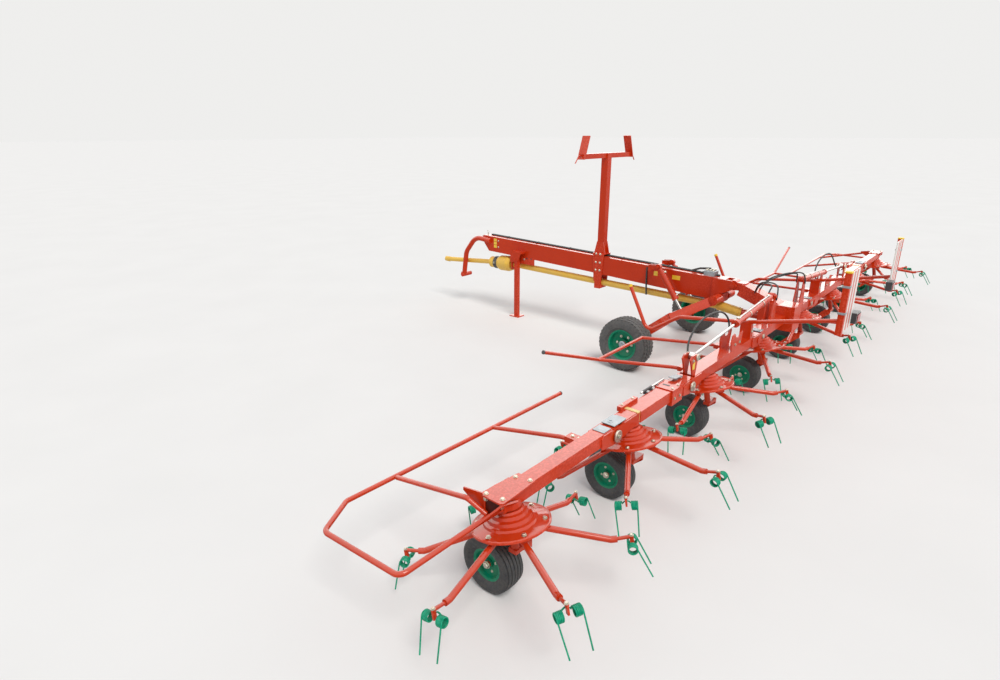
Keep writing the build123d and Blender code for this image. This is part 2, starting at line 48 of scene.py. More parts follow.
# Rotors, with an arm's own points given along, across and up in the rotor's frame
ROTORS = 8
ROTOR_PITCH = 1.4
ROTOR_X = [ROTOR_PITCH * ((ROTORS - 1) / 2 - k) for k in range(ROTORS)]
ROTOR_Z = 0.567
TILT = math.radians(12.0)
ARMS = 6
ARM_STEP = 60.0
ARM_PHASE = 3.0
RIM_BOLT = (0.210, 0.0, 0.0035)
SPRING_BOLT = (0.702, 0.0, -0.142)
COIL_CENTRE = (0.702, -0.200)
COIL_RADIUS = 0.027
COIL_SIDES = (0.032, 0.074)
COIL_TURNS = 4
COIL_STEPS = 84
TIP = (0.796, 0.066, -0.376)
WIRE = 0.005

# Axles as they stand in the stored frame, and the sections of their tyres
SMALL_WHEEL = (-0.150 + SHIFT, 0.200)
BIG_WHEEL = (0.993, -1.486 + SHIFT, 0.332)
SMALL_TYRE = {"outer": 0.2, "half": 0.0825, "rim": 0.112, "ribs": 5, "groove": 0.007, "shoulder": 0.03}
LARGE_TYRE = {"outer": 0.324, "half": 0.125, "rim": 0.19, "ribs": 4, "groove": 0.004, "shoulder": 0.06}

# Beam sections: front and rear faces, hinges, rail and marker board
BEAM_TOP = 0.790
HINGE_Z = 0.725
HINGES = {"inner": 1.0, "middle": 2.6, "outer": 3.8}
BEAM_FACES = (-0.075, 0.060)
SLIM_FACES = (-0.062, 0.046)
CHEEK_OUT = 0.0215
END_FACE = 5.0392
RAIL_X = 1.2
RAIL_TIP = (-1.361, 1.125)
RAIL_SLOPE = (0.0, -0.257, 0.505)
BOARD_INSET = 0.166

# Drawbar, cylinders and drive shaft
DRAWBAR_FACE = 0.0752
DRAWBAR_FRONT = (-4.720, 1.215)
DRAWBAR_REAR = (-0.700, 1.090)
FOLD_BASE = (0.52, 1.095)
FOLD_EYE = (2.47, 0.945)
LIFT_X = 0.19
LIFT_BASE = (-1.533, 1.150)
LIFT_EYE = (-1.164, 0.633)
BELL_FRONT = (-4.615, 0.778)
SHAFT_SLOPE = (0.0, 0.455, 0.022)

# Light, backdrop and camera
SKY_LIGHT = 0.56
SKY_SHINE = 2.2
BACKDROP = (0.862, 0.858, 0.846)
LAMP_TARGET = (0.0, 1.0, 0.0)
FLOOR_HALF = 300.0
CAMERA_PLACE = (7.2379, 1.9989 + SHIFT, 2.7897)
CAMERA_YAW = math.radians(228.327)
CAMERA_PITCH = math.radians(19.058)
CAMERA_ROLL = math.radians(-0.215)
FOCAL_PIXELS = 600.0
PHOTO_WIDTH = 1000.0
SENSOR_WIDTH = 36.0

# Colour sockets of Blender's Mix node: first, second and result
MIX_FIRST, MIX_SECOND, MIX_RESULT = 6, 7, 2


def at(x, y, z):
    """Point in the stored frame from the rotor row's own coordinates."""
    return Vector((x, y + SHIFT, z))


def drawbar_top(y):
    """Height of the drawbar's sloping top at y."""
    (y0, z0), (y1, z1) = DRAWBAR_FRONT, DRAWBAR_REAR
    return z0 + (y - y0) * (z1 - z0) / (y1 - y0)


# Materials
class Graph:
    """Small helper that adds shader nodes and links them."""

    def __init__(self, name):
        self.material = bpy.data.materials.new(name)
        self.material.use_nodes = True
        self.tree = self.material.node_tree
        self.shader = self.tree.nodes["Principled BSDF"]
        self.place = self.add("ShaderNodeTexCoord").outputs["Object"]

    def add(self, kind):
        return self.tree.nodes.new(kind)

    def link(self, source, target):
        self.tree.links.new(source, target)

    def noise(self, scale, detail=4.0, rough=0.55):
        node = self.add("ShaderNodeTexNoise")
        node.inputs["Scale"].default_value = scale
        node.inputs["Detail"].default_value = detail
        node.inputs["Roughness"].default_value = rough
        self.link(self.place, node.inputs["Vector"])
        return node.outputs["Fac"]

    def ramp(self, value, low, high, start=0.0, end=1.0):
        """Maps low to start and high to end, and holds both beyond."""
        node = self.add("ShaderNodeMapRange")
        node.inputs["From Min"].default_value = low
        node.inputs["From Max"].default_value = high
        node.inputs["To Min"].default_value = start
        node.inputs["To Max"].default_value = end
        self.link(value, node.inputs["Value"])
        return node.outputs["Result"]

    def mix(self, factor, first, second):
        node = self.add("ShaderNodeMix")
        node.data_type = "RGBA"
        self.link(factor, node.inputs["Factor"])
        for value, socket in ((first, node.inputs[MIX_FIRST]), (second, node.inputs[MIX_SECOND])):
            if isinstance(value, tuple):
                socket.default_value = (*value, 1.0)
            else:
                self.link(value, socket)
        return node.outputs[MIX_RESULT]

    def maths(self, operation, first, second):
        node = self.add("ShaderNodeMath")
        node.operation = operation
        for value, socket in ((first, node.inputs[0]), (second, node.inputs[1])):
            if isinstance(value, (int, float)):
                socket.default_value = value
            else:
                self.link(value, socket)
        return node.outputs[0]

    def times(self, first, second):
        return self.maths("MULTIPLY", first, second)

    def axis(self, source, name):
        node = self.add("ShaderNodeSeparateXYZ")
        self.link(source, node.inputs[0])
        return node.outputs[name]

    def bump(self, height, strength, distance):
        node = self.add("ShaderNodeBump")
        node.inputs["Strength"].default_value = strength
        node.inputs["Distance"].default_value = distance
        self.link(height, node.inputs["Height"])
        self.link(node.outputs["Normal"], self.shader.inputs["Normal"])

    def colour(self, source):
        self.link(source, self.shader.inputs["Base Color"])

    def rough(self, source):
        self.link(source, self.shader.inputs["Roughness"])


def paint_dirt(g, surface, level):
    """Share of dirt: a dusty film and grit on faces that look up, and splashes low down."""
    upward = g.ramp(g.axis(surface.outputs["Normal"], "Z"), 0.35, 1.0)
    film = g.ramp(g.noise(5.0, 7.0, 0.7), 0.42, 0.75)
    grit = g.ramp(g.noise(240.0, 4.0, 0.7), 0.56, 0.74)
    lowness = g.ramp(g.axis(g.place, "Z"), 0.70, 0.15)
    splash = g.times(lowness, g.ramp(g.noise(16.0, 6.0, 0.65), 0.42, 0.70))
    specks = g.maths("ADD", g.times(film, 0.30), g.times(grit, 0.08))
    return g.times(g.maths("MAXIMUM", g.times(splash, 0.7), g.times(upward, specks)), level)


def top_sheen_coat(g, surface, weight):
    """Glossy top coat whose weight is raised on faces that look up, a painted sheen that makes top faces
    reflect more of the sky than the sides do.
    """
    upward = g.axis(surface.outputs["Normal"], "Z")
    # Painted sheen: coat weight follows how far a face looks up, from a fifth of the weight on sides to the
    # full weight on tops.
    g.link(g.ramp(upward, 0.05, 0.85, 0.2 * weight, weight), g.shader.inputs["Coat Weight"])
    g.shader.inputs["Coat IOR"].default_value = 1.5
    g.shader.inputs["Coat Roughness"].default_value = 0.10
    g.shader.inputs["Specular IOR Level"].default_value = 0.1


def paint(name, base, shade, dust=(0.24, 0.17, 0.09), level=0.25, coat=1.0):
    """Sprayed machine paint: soft colour drift, fine dust on top faces, chaff low down, and painted
    highlights on sharp edges, broken up by noise.
    """
    g = Graph(name)
    colour = g.mix(g.ramp(g.noise(2.2, 3.0), 0.35, 0.7), base, shade)
    surface = g.add("ShaderNodeNewGeometry")
    dirt = paint_dirt(g, surface, level)
    colour = g.mix(dirt, colour, dust)
    # Painted highlight: sharp edges, found by pointiness and broken up by noise, are lightened towards a
    # paler copy of the base colour.
    edges = g.ramp(surface.outputs["Pointiness"], 0.53, 0.60)
    edge_highlight = g.times(edges, g.ramp(g.noise(55.0, 5.0), 0.45, 0.6))
    pale = tuple(min(1.0, c * 1.5 + 0.06) for c in base)
    g.colour(g.mix(g.times(edge_highlight, 0.35), colour, pale))
    g.rough(g.maths("ADD", g.ramp(g.noise(24.0, 5.0), 0.3, 0.7, 0.28, 0.42), g.times(dirt, 0.35)))
    g.bump(g.noise(90.0, 3.0), 0.025, 0.001)
    top_sheen_coat(g, surface, coat)
    return g.material


def rubber(name, base, dust, level):
    """Tyre or hose rubber with dust in its hollows and a mottled skin."""
    g = Graph(name)
    drift = g.ramp(g.noise(9.0, 5.0), 0.3, 0.75)
    colour = g.mix(drift, base, tuple(c * 1.7 for c in base))
    dusty = g.times(g.ramp(g.noise(38.0, 7.0, 0.7), 0.42, 0.72), level)
    colour = g.mix(dusty, colour, dust)
    surface = g.add("ShaderNodeNewGeometry")
    hollow = g.ramp(surface.outputs["Pointiness"], 0.49, 0.42)
    g.colour(g.mix(g.times(hollow, level), colour, dust))
    g.rough(g.ramp(g.noise(50.0), 0.3, 0.7, 0.5, 0.78))
    g.bump(g.noise(260.0, 4.0), 0.14, 0.001)
    return g.material


def metal(name, base, rough_low, rough_high):
    """Bare metal with fine grain and slight tarnish."""
    g = Graph(name)
    tarnish = g.ramp(g.noise(18.0, 6.0), 0.4, 0.75)
    colour = g.mix(tarnish, base, tuple(c * 0.72 for c in base))
    spots = g.times(g.ramp(g.noise(120.0, 5.0, 0.7), 0.58, 0.75), 0.35)
    g.colour(g.mix(spots, colour, (0.20, 0.15, 0.10)))
    g.rough(g.ramp(g.noise(90.0, 4.0, 0.6), 0.3, 0.7, rough_low, rough_high))
    g.bump(g.noise(300.0, 2.0, 0.5), 0.06, 0.0006)
    g.shader.inputs["Metallic"].default_value = 1.0
    return g.material


def plastic(name, base, shade, rough_low=0.35, rough_high=0.5):
    """Moulded plastic with a fine grained skin and handling dirt."""
    g = Graph(name)
    colour = g.mix(g.ramp(g.noise(5.0, 4.0), 0.35, 0.7), base, shade)
    dirt = g.times(g.ramp(g.noise(46.0, 7.0, 0.7), 0.5, 0.75), 0.3)
    g.colour(g.mix(dirt, colour, tuple(c * 0.45 + 0.02 for c in base)))
    g.rough(g.ramp(g.noise(60.0), 0.3, 0.7, rough_low, rough_high))
    g.bump(g.noise(420.0, 3.0), 0.08, 0.0006)
    return g.material


def striped_board(name):
    """Marker board: pale reflective edges with a red band between them, running its length."""
    g = Graph(name)
    x = g.maths("ABSOLUTE", g.axis(g.place, "X"), 0.0)
    away = g.maths("ABSOLUTE", g.maths("SUBTRACT", x, RAIL_X - BOARD_INSET), 0.0)
    band = g.times(g.ramp(away, 0.078, 0.074), g.ramp(away, 0.020, 0.024))
    colour = g.mix(band, (0.78, 0.77, 0.73), (0.58, 0.035, 0.02))
    honeycomb = g.add("ShaderNodeTexVoronoi")
    honeycomb.inputs["Scale"].default_value = 240.0
    g.link(g.place, honeycomb.inputs["Vector"])
    cells = g.ramp(honeycomb.outputs["Distance"], 0.0, 0.6)
    colour = g.mix(g.times(cells, 0.10), colour, (0.95, 0.95, 0.92))
    dirt = g.times(g.ramp(g.noise(30.0, 7.0, 0.7), 0.48, 0.75), 0.35)
    g.colour(g.mix(dirt, colour, (0.25, 0.22, 0.16)))
    g.rough(g.ramp(g.noise(40.0), 0.3, 0.7, 0.25, 0.45))
    g.bump(honeycomb.outputs["Distance"], 0.05, 0.0004)
    return g.material


RED = paint("red_paint", (0.555, 0.036, 0.004), (0.490, 0.028, 0.003))
# Painted shade: dark red for the panel that stands in for the shaded hollow in the end of the outer beam.
PAINTED_SHADE_RED = paint("shaded_red", (0.085, 0.008, 0.003), (0.060, 0.006, 0.003),
                 dust=(0.05, 0.03, 0.02), level=0.3, coat=0.0)
GREEN = paint("green_paint", (0.0, 0.225, 0.120), (0.0, 0.185, 0.100),
              dust=(0.16, 0.15, 0.08), level=0.3, coat=0.4)
SPRING = paint("spring_green", (0.0, 0.300, 0.165), (0.0, 0.240, 0.135),
               dust=(0.13, 0.14, 0.06), level=0.3, coat=0.1)
TYRE = rubber("tyre_rubber", (0.018, 0.019, 0.022), (0.13, 0.12, 0.09), 0.30)
BIG_TYRE = rubber("transport_tyre_rubber", (0.045, 0.045, 0.047), (0.19, 0.18, 0.15), 0.40)
HOSE = rubber("hose_rubber", (0.012, 0.012, 0.013), (0.10, 0.10, 0.09), 0.25)
CHROME = metal("chrome_rod", (0.52, 0.52, 0.51), 0.10, 0.22)
ZINC = metal("zinc_plate", (0.28, 0.31, 0.33), 0.32, 0.50)
STEEL = metal("bolt_steel", (0.48, 0.45, 0.38), 0.26, 0.42)
YELLOW = plastic("yellow_guard", (0.76, 0.47, 0.05), (0.70, 0.44, 0.08))
PALE_YELLOW = plastic("pale_guard", (0.72, 0.55, 0.22), (0.66, 0.49, 0.17))
CAP = plastic("yellow_cap", (0.85, 0.56, 0.02), (0.78, 0.50, 0.02))
BLACK = plastic("black_plastic", (0.02, 0.02, 0.022), (0.035, 0.035, 0.038))
STICKER = plastic("blank_sticker", (0.85, 0.58, 0.03), (0.78, 0.52, 0.04), 0.25, 0.35)
LENS = plastic("red_lens", (0.45, 0.012, 0.01), (0.38, 0.01, 0.01), 0.08, 0.15)
BOARD = striped_board("marker_stripes")


# Mesh building
class Builder:
    """Collects rings, prisms and tubes into one mesh."""

    def __init__(self):
        self.points = []
        self.faces = []

    def grid(self, rings, caps=True):
        """Skins a list of equal closed rings of points."""
        base = len(self.points)
        count = len(rings[0])
        for ring in rings:
            self.points.extend(Vector(p) for p in ring)
        for i in range(len(rings) - 1):
            for j in range(count):
                a = base + i * count + j
                b = base + i * count + (j + 1) % count
                self.faces.append((a, b, b + count, a + count))
        if caps:
            self.faces.append(tuple(base + j for j in range(count))[::-1])
            top = base + (len(rings) - 1) * count
            self.faces.append(tuple(top + j for j in range(count)))

    def tube(self, path, radius, sides=10):
        """Round tube along points, with a frame carried along the path."""
        path = [Vector(p) for p in path]
        turns = [2 * math.pi * k / sides for k in range(sides)]
        side = None
        rings = []
        for i, point in enumerate(path):
            ahead = (path[min(i + 1, len(path) - 1)] - path[max(i - 1, 0)]).normalized()
            if side is None:
                side = ahead.orthogonal().normalized()
            side = (side - ahead * side.dot(ahead)).normalized()
            other = ahead.cross(side)
            rings.append([point + (side * math.cos(t) + other * math.sin(t)) * radius for t in turns])
        self.grid(rings)

    def lathe(self, profile, place, segments=48, closed=False):
        """Turns (radius, height) corners about the local Z axis of place."""
        rings = []
        turns = [2 * math.pi * k / segments for k in range(segments)]
        for size, height in profile + (profile[:1] if closed else []):
            rings.append([place @ Vector((size * math.cos(t), size * math.sin(t), height)) for t in turns])
        self.grid(rings, caps=not closed)

    def prism(self, outline, place, low, high, chamfer=0.0):
        """Extrudes (x, y) corners along the local Z axis of place, with its top edge drawn in."""
        centre = Vector((sum(x for x, y in outline), sum(y for x, y in outline), 0.0)) / len(outline)
        rings = [[place @ Vector((x, y, low)) for x, y in outline],
                 [place @ Vector((x, y, high - chamfer)) for x, y in outline]]
        if chamfer:
            inset = []
            for x, y in outline:
                away = Vector((x, y, 0.0)) - centre
                kept = centre + away * max(0.0, 1.0 - chamfer * 1.4 / max(away.length, 1e-6))
                inset.append(place @ Vector((kept.x, kept.y, high)))
            rings.append(inset)
        self.grid(rings)

    def block(self, low, high, chamfer=0.002):
        """Box between two corners with all its edges cut."""
        low, high = Vector(low), Vector(high)
        low, high = (Vector(map(min, low, high)), Vector(map(max, low, high)))
        c = min(chamfer, min(high - low) * 0.4)
        rings = []
        for z, inset in ((low.z, c), (low.z + c, 0.0), (high.z - c, 0.0), (high.z, c)):
            x0, x1, y0, y1 = low.x + inset, high.x - inset, low.y + inset, high.y - inset
            rings.append([(x0 + c, y0, z), (x1 - c, y0, z), (x1, y0 + c, z), (x1, y1 - c, z), (x1 - c, y1, z),
                          (x0 + c, y1, z), (x0, y1 - c, z), (x0, y0 + c, z)])
        self.grid(rings)

    def slab(self, side, across, along, height, chamfer=0.002):
        """Block between pairs of x, y and z in the row's coordinates, mirrored to its side."""
        low = at(side * across[0], along[0], height[0])
        high = at(side * across[1], along[1], height[1])
        self.block(low, high, chamfer)

    def bolt(self, centre, normal, size, turn=0.3):
        """Hexagon head with a domed top, on a washer, standing on a face."""
        place = facing(centre, normal)
        washer = [(0.0005, -0.001), (size * 1.25, -0.001), (size * 1.25, size * 0.16)]
        self.lathe(washer + [(size * 0.9, size * 0.2), (0.0005, size * 0.2)], place, 18)
        sixths = [turn + math.pi / 3 * k for k in range(6)]
        corners = [(size * math.cos(t), size * math.sin(t)) for t in sixths]
        rings = []
        for height, scale in ((0.18, 1.0), (0.72, 1.0), (0.86, 0.88), (0.9, 0.6)):
            rings.append([place @ Vector((x * scale, y * scale, size * height)) for x, y in corners])
        self.grid(rings)

    def disc(self, centre, normal, radius, thick, hole=0.0):
        """Washer or cover plate with rounded rims."""
        edge = min(thick * 0.4, 0.003)
        inner = max(hole, 0.0008)
        profile = [(inner, -0.0005), (radius, -0.0005), (radius, thick - edge), (radius - edge, thick),
                   (inner, thick)]
        self.lathe(profile, facing(centre, normal), 32, closed=True)

    def done(self, name, material, body, smooth=35.0, bevel=0.0, slot=None, replaces=()):
        """Turns what was collected into a named piece that rides a body."""
        mesh = bpy.data.meshes.new(name)
        mesh.from_pydata([tuple(p) for p in self.points], [], self.faces)
        mesh.validate()
        mesh.update()
        piece = bpy.data.objects.new(name, mesh)
        bpy.context.scene.collection.objects.link(piece)
        mesh.materials.append(material)
        if bevel:
            rounding = piece.modifiers.new("rounding", "BEVEL")
            rounding.width = bevel
            rounding.segments = 2
            rounding.limit_method = "ANGLE"
        for face in mesh.polygons:
            face.use_smooth = True
        mesh.set_sharp_from_angle(angle=math.radians(smooth))
        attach(piece, body)
        if replaces:
            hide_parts(*replaces)


def facing(centre, normal):
    """Matrix whose local Z points along normal at centre."""
    turn = Vector(normal).normalized().to_track_quat("Z", "Y").to_matrix().to_4x4()
    return Matrix.Translation(Vector(centre)) @ turn


def rounded_path(points, radius, steps=6):
    """Polyline with its corners rounded by arcs."""
    points = [Vector(p) for p in points]
    path = [points[0]]
    for before, corner, after in zip(points, points[1:], points[2:]):
        to_before = (before - corner).normalized()
        to_after = (after - corner).normalized()
        half = to_before.angle(to_after) / 2
        reach = min(radius / math.tan(half), (before - corner).length * 0.48, (after - corner).length * 0.48)
        start = corner + to_before * reach
        end = corner + to_after * reach
        for k in range(steps + 1):
            t = k / steps
            path.append(start * (1 - t) ** 2 + corner * 2 * t * (1 - t) + end * t ** 2)
    path.append(points[-1])
    return path


# Rotors
def rotor_place(index):
    """Frame of a rotor, whose local Z is its tilted axle."""
    return Matrix.Translation(at(ROTOR_X[index], 0.0, ROTOR_Z)) @ Matrix.Rotation(TILT, 4, "X")


def rotor_angles(index):
    """Angles of the arms, which alternate so that they pass between those of the next rotor."""
    phase = ARM_PHASE if index % 2 == 0 else ARM_STEP / 2 - ARM_PHASE
    return [math.radians(phase + ARM_STEP * k) for k in range(ARMS)]


def spring_path(side):
    """Wire from the hanger through its coil to the tip, in the arm's own frame."""
    cx, cz = COIL_CENTRE
    near, far = COIL_SIDES
    tip = Vector((TIP[0], side * TIP[1], TIP[2]))
    sweep = math.radians(165.0 + 360.0 * COIL_TURNS)
    path = [Vector((cx - COIL_RADIUS, 0.0, cz + 0.022)), Vector((cx - COIL_RADIUS, side * 0.016, cz + 0.016))]
    for k in range(COIL_STEPS + 1):
        t = k / COIL_STEPS
        angle = math.pi - sweep * t
        y = side * (near + (far - near) * t)
        path.append(Vector((cx + COIL_RADIUS * math.cos(angle), y, cz + COIL_RADIUS * math.sin(angle))))
    foot = path[-1]
    for reach in (0.25, 0.5, 0.75, 1.0):
        path.append(foot.lerp(tip, reach))
    return path


def springs(index):
    """Six double coils of one rotor, each pair wound from a single wire."""
    b = Builder()
    whole = spring_path(-1)[::-1] + spring_path(1)
    for angle in rotor_angles(index):
        place = rotor_place(index) @ Matrix.Rotation(angle, 4, "Z")
        b.tube([place @ p for p in whole], WIRE, 6)
    b.done(f"tine_springs_{index + 1}", SPRING, f"rotor_{index + 1}", 60.0, slot="green_spring",
           replaces=(f"tines_{index + 1}",))


def rotor_fittings(index):
    """One bolt above each arm near the disc's rim, and the bolt that holds each spring."""
    b = Builder()
    normal = rotor_place(index).to_3x3() @ Vector(UP)
    for angle in rotor_angles(index):
        place = rotor_place(index) @ Matrix.Rotation(angle, 4, "Z")
        b.bolt(place @ Vector(RIM_BOLT), normal, 0.0135, angle)
        b.bolt(place @ Vector(SPRING_BOLT), normal, 0.011, angle)
    b.done(f"rotor_fittings_{index + 1}", STEEL, f"rotor_{index + 1}")


# Wheels
def ribbed_profile(outer, half, rim, ribs, groove, shoulder):
    """Tyre section from one bead to the other with ribs running round the tread."""
    profile = [(rim, -half * 0.76), (rim + 0.012, -half * 0.80), (rim + 0.03, -half * 0.97),
               (outer - shoulder * 1.3, -half), (outer - shoulder * 0.7, -half * 0.97),
               (outer - shoulder * 0.25, -half * 0.88)]
    back = [(radius, -place) for radius, place in profile[::-1]]
    edge = half * 0.81
    pitch = 2 * edge / ribs
    gap = pitch * 0.16
    for k in range(ribs):
        near = -edge + pitch * k + gap
        far = -edge + pitch * (k + 1) - gap
        near_crown, far_crown = [outer - 0.25 * shoulder * abs(y / edge) ** 3 for y in (near, far)]
        profile += [(near_crown - groove, near - gap * 0.7), (near_crown, near)]
        profile += [(far_crown, far), (far_crown - groove, far + gap * 0.7)]
    return profile + back


def tread_blocks(b, place, outer, half, count, wide, long, deep):
    """Four rows of slanted blocks across the tread."""
    outline = [(-wide, -long), (wide, -long), (wide, long), (-wide, long)]
    for row, across in enumerate((-0.78, -0.28, 0.28, 0.78)):
        slant = math.radians(14 if across > 0 else -14)
        for k in range(count):
            turn = 2 * math.pi * (k + 0.5 * (row % 2)) / count
            spot = place @ Matrix.Rotation(turn, 4, "Z")
            spot = spot @ Matrix.Translation((outer - 0.012 * abs(across), 0.0, half * across))
            spot = spot @ Matrix.Rotation(slant, 4, "X") @ Matrix.Rotation(math.pi / 2, 4, "Y")
            b.prism(outline, spot, -0.012, deep, 0.002)


def wheel_nuts(b, hub, side, count, circle, size, start=0.0):
    """Ring of nuts on the outer face of a wheel's disc."""
    for k in range(count):
        turn = 2 * math.pi / count * k + start
        spot = hub + Vector((0.0, circle * math.cos(turn), circle * math.sin(turn)))
        b.bolt(spot, (side, 0, 0), size)


def small_wheel(index):
    """Ribbed tyre, hub nut and wheel nuts of the wheel under a rotor."""
    side = 1 if ROTOR_X[index] > 0 else -1
    body = f"small_wheel_{index + 1}"
    centre = Vector((ROTOR_X[index], *SMALL_WHEEL))
    b = Builder()
    place = Matrix.Translation(centre) @ Matrix.Rotation(math.pi / 2, 4, "Y")
    b.lathe(ribbed_profile(**SMALL_TYRE), place, 64, closed=True)
    b.done(f"small_tyre_ribbed_{index + 1}", TYRE, body, 40.0, slot="tyre",
           replaces=(f"small_tyre_{index + 1}",))
    fittings = Builder()
    fittings.bolt(centre + Vector((side * 0.056, 0, 0)), (side, 0, 0), 0.021)
    wheel_nuts(fittings, centre + Vector((side * 0.0315, 0, 0)), side, 4, 0.058, 0.008, 0.4)
    fittings.done(f"small_wheel_nuts_{index + 1}", STEEL, body)


def transport_wheel(name, side):
    """Blocked tyre and nuts of a transport wheel, and the cap on its axle."""
    x, y, z = BIG_WHEEL
    body = f"transport_wheel_{name}"
    centre = Vector((side * x, y, z))
    place = Matrix.Translation(centre) @ Matrix.Rotation(math.pi / 2, 4, "Y")
    b = Builder()
    b.lathe(ribbed_profile(**LARGE_TYRE), place, 96, closed=True)
    tread_blocks(b, place, outer=0.3225, half=0.100, count=40, wide=0.0215, long=0.0165, deep=0.0085)
    b.done(f"transport_tyre_ribbed_{name}", BIG_TYRE, body, 40.0, slot="tyre",
           replaces=(f"transport_tyre_{name}",))
    fittings = Builder()
    wheel_nuts(fittings, centre + Vector((side * 0.03, 0, 0)), side, 6, 0.1, 0.014)
    fittings.done(f"transport_wheel_nuts_{name}", STEEL, body)
    cap = Builder()
    dome = [(0.0005, -0.002), (0.046, -0.002), (0.046, 0.004)]
    dome += [(0.030, 0.008), (0.026, 0.016), (0.0005, 0.018)]
    cap.lathe(dome, facing((side * (x + 0.082), y, z), (side, 0, 0)), 32)
    cap.done(f"axle_cap_{name}", ZINC, f"swing_{name}")


# Sections of the folding row
def hinge_pin(b, side, x, face, radius, thick, bolt):
    """Washer and bolt head on the rear end of a hinge pin."""
    b.disc(at(side * x, face, HINGE_Z), REAR, radius, thick)
    b.bolt(at(side * x, face + thick - 0.001, HINGE_Z), REAR, bolt)


def centre_hinge(name, side):
    """Zinc plate and bolts above the hinge between the centre and an inner section."""
    zinc, steel = Builder(), Builder()
    zinc.slab(side, (0.830, 0.922), (-0.085, 0.058), (BEAM_TOP - 0.003, BEAM_TOP + 0.009))
    zinc.done(f"centre_hinge_plate_{name}", ZINC, "centre", bevel=0.001)
    steel.disc(at(side * 0.865, BEAM_FACES[1] + CHEEK_OUT - 0.012, 0.733), REAR, 0.027, 0.012)
    for y in (-0.055, 0.030):
        steel.bolt(at(side * 0.876, y, BEAM_TOP + 0.008), UP, 0.011)
    steel.done(f"centre_hinge_bolts_{name}", STEEL, "centre")


def hinge_covers(name, side):
    """Pin washers of the outer two hinges, and the zinc plates above the last one."""
    inner, middle = Builder(), Builder()
    hinge_pin(inner, side, HINGES["middle"], BEAM_FACES[1] + CHEEK_OUT, 0.043, 0.012, 0.014)
    inner.done(f"middle_hinge_washer_{name}", STEEL, f"inner_{name}")
    hinge_pin(middle, side, HINGES["outer"], SLIM_FACES[1] + CHEEK_OUT, 0.046, 0.013, 0.015)
    middle.done(f"outer_hinge_washer_{name}", STEEL, f"middle_{name}")
    plates = Builder()
    plates.slab(side, (3.640, 3.708), (-0.050, 0.040), (BEAM_TOP - 0.005, BEAM_TOP + 0.010))
    plates.slab(side, (3.665, 3.822), (-0.062, 0.050), (BEAM_TOP + 0.008, BEAM_TOP + 0.016))
    plates.disc(at(side * 3.775, -0.012, BEAM_TOP + 0.015), UP, 0.022, 0.005, 0.012)
    plates.done(f"outer_hinge_plate_{name}", ZINC, f"middle_{name}", bevel=0.001)
    far = Builder()
    far.slab(side, (3.850, 3.945), (-0.058, 0.040), (BEAM_TOP - 0.002, BEAM_TOP + 0.007))
    far.done(f"outer_hinge_cover_{name}", ZINC, f"outer_{name}", bevel=0.001)


def beam_strap(name, side):
    """Pale strap over the top and down the rear face of the middle beam."""
    b = Builder()
    front, back = SLIM_FACES[0] - 0.005, SLIM_FACES[1] + 0.005
    b.slab(side, (3.455, 3.495), (front, back), (BEAM_TOP - 0.001, BEAM_TOP + 0.004), 0.0012)
    b.slab(side, (3.455, 3.495), (back - 0.003, back + 0.002), (BEAM_TOP - 0.085, BEAM_TOP), 0.0012)
    b.done(f"beam_strap_{name}", PALE_YELLOW, f"middle_{name}")


def lock_rod(name, side):
    """Chrome rod in a black sleeve on the front of the middle section, with its three holders."""
    body = f"middle_{name}"
    y, z = -0.096, 0.806
    rod, dark = Builder(), Builder()
    rod.tube([at(side * 3.185, y, z), at(side * 2.795, y, z)], 0.008, 12)
    rod.done(f"lock_rod_{name}", CHROME, body)
    dark.tube([at(side * 3.150, y, z), at(side * 3.010, y, z)], 0.0105, 14)
    for x in (3.120, 3.030, 2.930):
        dark.slab(side, (x - 0.010, x + 0.010), (-0.106, -0.072), (0.778, 0.801))
    dark.slab(side, (2.868, 2.892), (-0.058, 0.004), (0.7975, 0.7995), 0.0008)
    dark.done(f"lock_sleeve_{name}", BLACK, body)


def middle_bolts(name, side):
    """Bolts of the middle section's sleeve and brackets."""
    b = Builder()
    for k in range(2):
        b.bolt(at(side * (2.82 + 0.10 * k), 0.048, 0.798), UP, 0.010)
        b.bolt(at(side * (2.83 + 0.09 * k), 0.074, 0.720), REAR, 0.011)
        b.bolt(at(side * (3.335 + 0.16 * k), -0.085, 0.816), UP, 0.009)
    b.done(f"sleeve_bolts_{name}", STEEL, f"middle_{name}")


def guide_plate(name, side):
    """Sloping zinc guide on its foot near the inner end of the middle section."""
    guide = Builder()
    top = at(side * 2.690, -0.035, BEAM_TOP + 0.022)
    place = Matrix.Translation(top) @ Matrix.Rotation(side * math.radians(-9), 4, "Y")
    outline = [(-0.075, -0.030), (0.075, -0.034), (0.090, 0.0), (0.075, 0.034), (-0.075, 0.030)]
    guide.prism(outline, place, -0.004, 0.004, 0.001)
    guide.block(top + Vector((-0.012, -0.018, -0.026)), top + Vector((0.012, 0.018, 0.0)))
    guide.done(f"guide_plate_{name}", ZINC, f"middle_{name}")


